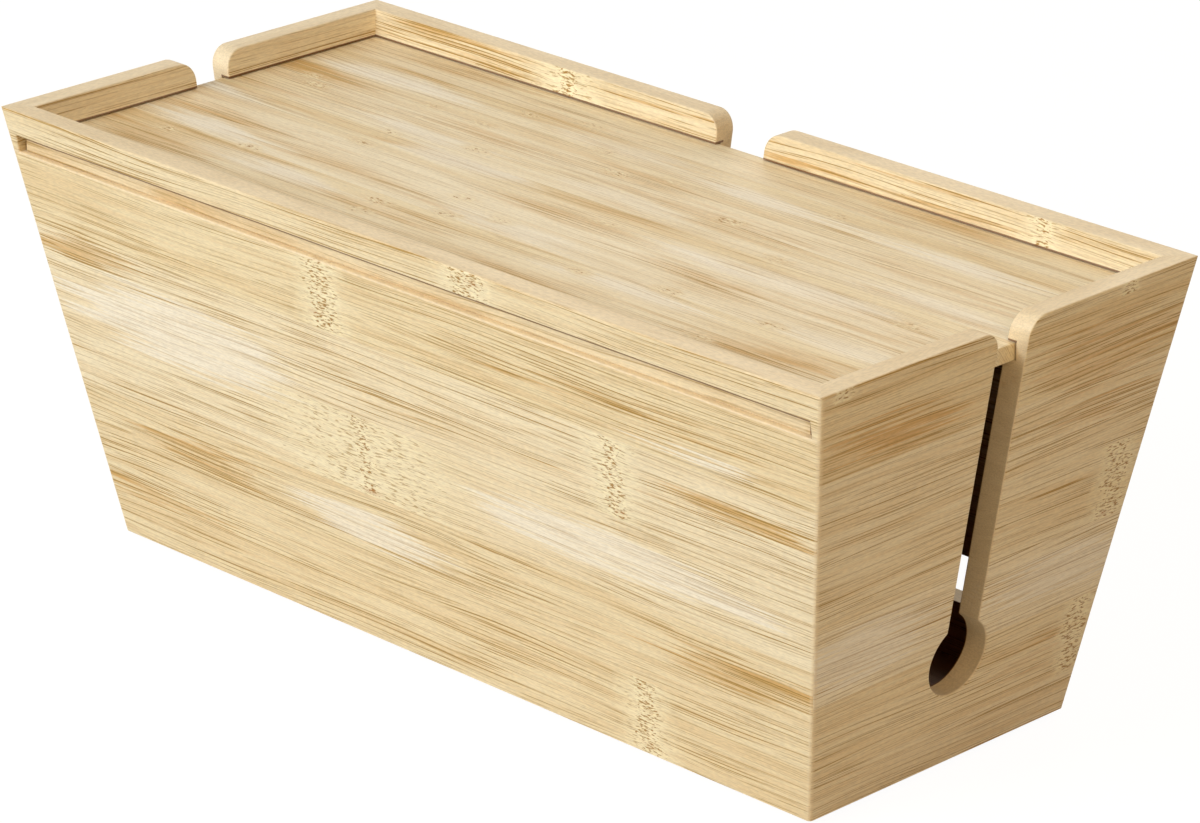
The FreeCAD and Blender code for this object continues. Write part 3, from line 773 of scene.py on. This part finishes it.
class CABLEBOX_OT_lid(Operator):
    """Finish the sliding lid in narrow bamboo strips"""

    bl_idname = "cablebox.lid"
    bl_label = "Lid"

    def execute(self, context):
        looks = context.scene.cablebox_bamboo
        wear("sliding_lid", lid_material("bamboo_lid", looks, 3, False))
        return {"FINISHED"}


class CABLEBOX_OT_base(Operator):
    """Finish the base panel and the corner keys"""

    bl_idname = "cablebox.base"
    bl_label = "Base"

    def execute(self, context):
        looks = context.scene.cablebox_bamboo
        panel = lid_material("bamboo_base", looks, 51, True)
        wear("base_panel", panel)
        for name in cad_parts:
            if name.startswith("corner_key"):
                wear(name, panel)
        return {"FINISHED"}


class CABLEBOX_OT_feet(Operator):
    """Finish the four feet in black rubber"""

    bl_idname = "cablebox.feet"
    bl_label = "Feet"

    def execute(self, context):
        rubber = rubber_material()
        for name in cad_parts:
            if name.startswith("foot"):
                wear(name, rubber)
        return {"FINISHED"}


def area_lamp(name, power, colour, size, place):
    """A square soft lamp that shines on the box."""
    data = bpy.data.lights.new(name, "AREA")
    data.energy = power
    data.size = size
    data.color = colour
    lamp = bpy.data.objects.new(name, data)
    lamp.location = place
    lamp.rotation_euler = (Vector(LAMP_AIM) - Vector(place)).to_track_quat("-Z", "Y").to_euler()
    bpy.context.scene.collection.objects.link(lamp)


def seen_directly(graph):
    """One where the eye, a reflection or a clear surface looks on, and nothing for other light."""
    path = graph.node("ShaderNodeLightPath")
    seen = graph.signal(path, "Is Camera Ray").maths("MAXIMUM", graph.signal(path, "Is Glossy Ray"))
    return seen.maths("MAXIMUM", graph.signal(path, "Is Transmission Ray"))


def room_light(strength, colour):
    """An even room that shows plain white behind the box and in its reflections."""
    world = bpy.data.worlds.new("room")
    world.use_nodes = True
    graph = Graph(tree=world.node_tree)
    shown = seen_directly(graph)
    background = graph.signal(graph.node("ShaderNodeBackground", None, {
        "Color": (*colour, 1), "Strength": shown * (1 - strength) + strength,
    }))
    graph.node("ShaderNodeOutputWorld", None, {"Surface": background})
    bpy.context.scene.world = world


def floor_material(studio):
    """A white floor that keeps a faint shadow of the box."""
    graph = Graph("floor_white")
    matt = graph.signal(graph.node("ShaderNodeBsdfDiffuse", None, {"Color": (*studio.floor, 1)}))
    glow = graph.signal(graph.node("ShaderNodeEmission", None, {
        "Color": (1, 1, 1, 1), "Strength": studio.floor_white,
    }))
    mixed = graph.signal(graph.node("ShaderNodeMixShader", None, {
        0: seen_directly(graph) * studio.floor_glow, 1: matt, 2: glow,
    }))
    graph.node("ShaderNodeOutputMaterial", None, {"Surface": mixed})
    return graph.material


class CABLEBOX_OT_studio(Operator):
    """Set the floor, the lamps and the camera"""

    bl_idname = "cablebox.studio"
    bl_label = "Studio"

    def execute(self, context):
        studio = context.scene.cablebox_studio
        shape = bmesh.new()
        bmesh.ops.create_grid(shape, x_segments=1, y_segments=1, size=FLOOR_REACH)
        mesh = bpy.data.meshes.new("floor")
        shape.to_mesh(mesh)
        shape.free()
        mesh.materials.append(floor_material(studio))
        floor = bpy.data.objects.new("floor", mesh)
        context.scene.collection.objects.link(floor)

        for name, (size, place) in LAMPS.items():
            power, colour = getattr(studio, name), getattr(studio, f"{name}_colour")
            area_lamp(f"{name}_lamp", power, colour, size, place)
        room_light(studio.room, studio.room_colour)

        back = Vector((
            math.sin(studio.azimuth) * math.cos(studio.elevation),
            -math.cos(studio.azimuth) * math.cos(studio.elevation),
            math.sin(studio.elevation),
        ))
        data = bpy.data.cameras.new("camera")
        data.lens = studio.lens
        data.sensor_width = studio.sensor
        camera = bpy.data.objects.new("camera", data)
        camera.location = Vector(studio.aim) + back * studio.distance
        camera.rotation_euler = (-back).to_track_quat("-Z", "Y").to_euler()
        context.scene.collection.objects.link(camera)
        context.scene.camera = camera
        context.scene.view_settings.view_transform = "Standard"
        return {"FINISHED"}


class CABLEBOX_PT_panel(Panel):
    """The box's pieces and looks"""

    bl_idname = "CABLEBOX_PT_panel"
    bl_label = "Cable box"
    bl_space_type = "VIEW_3D"
    bl_region_type = "UI"
    bl_category = "Cable box"

    def draw(self, context):
        for group in (context.scene.cablebox_bamboo, context.scene.cablebox_studio):
            column = self.layout.column()
            for name in group.__annotations__:
                column.prop(group, name)
        for step in STEPS:
            self.layout.operator(step.bl_idname)


STEPS = (CABLEBOX_OT_walls, CABLEBOX_OT_lid, CABLEBOX_OT_base, CABLEBOX_OT_feet, CABLEBOX_OT_studio)
CLASSES = (BambooLooks, StudioLooks, *STEPS, CABLEBOX_PT_panel)


def register():
    """Make the classes and the scene's settings known."""
    for item in CLASSES:
        bpy.utils.register_class(item)
    bpy.types.Scene.cablebox_bamboo = PointerProperty(type=BambooLooks)
    bpy.types.Scene.cablebox_studio = PointerProperty(type=StudioLooks)


def unregister():
    """Take them away again."""
    del bpy.types.Scene.cablebox_studio
    del bpy.types.Scene.cablebox_bamboo
    for item in reversed(CLASSES):
        bpy.utils.unregister_class(item)


def main():
    """Finish every piece and set the studio."""
    register()
    bpy.ops.cablebox.walls()
    bpy.ops.cablebox.lid()
    bpy.ops.cablebox.base()
    bpy.ops.cablebox.feet()
    bpy.ops.cablebox.studio()


if __name__ == "__main__":
    main()
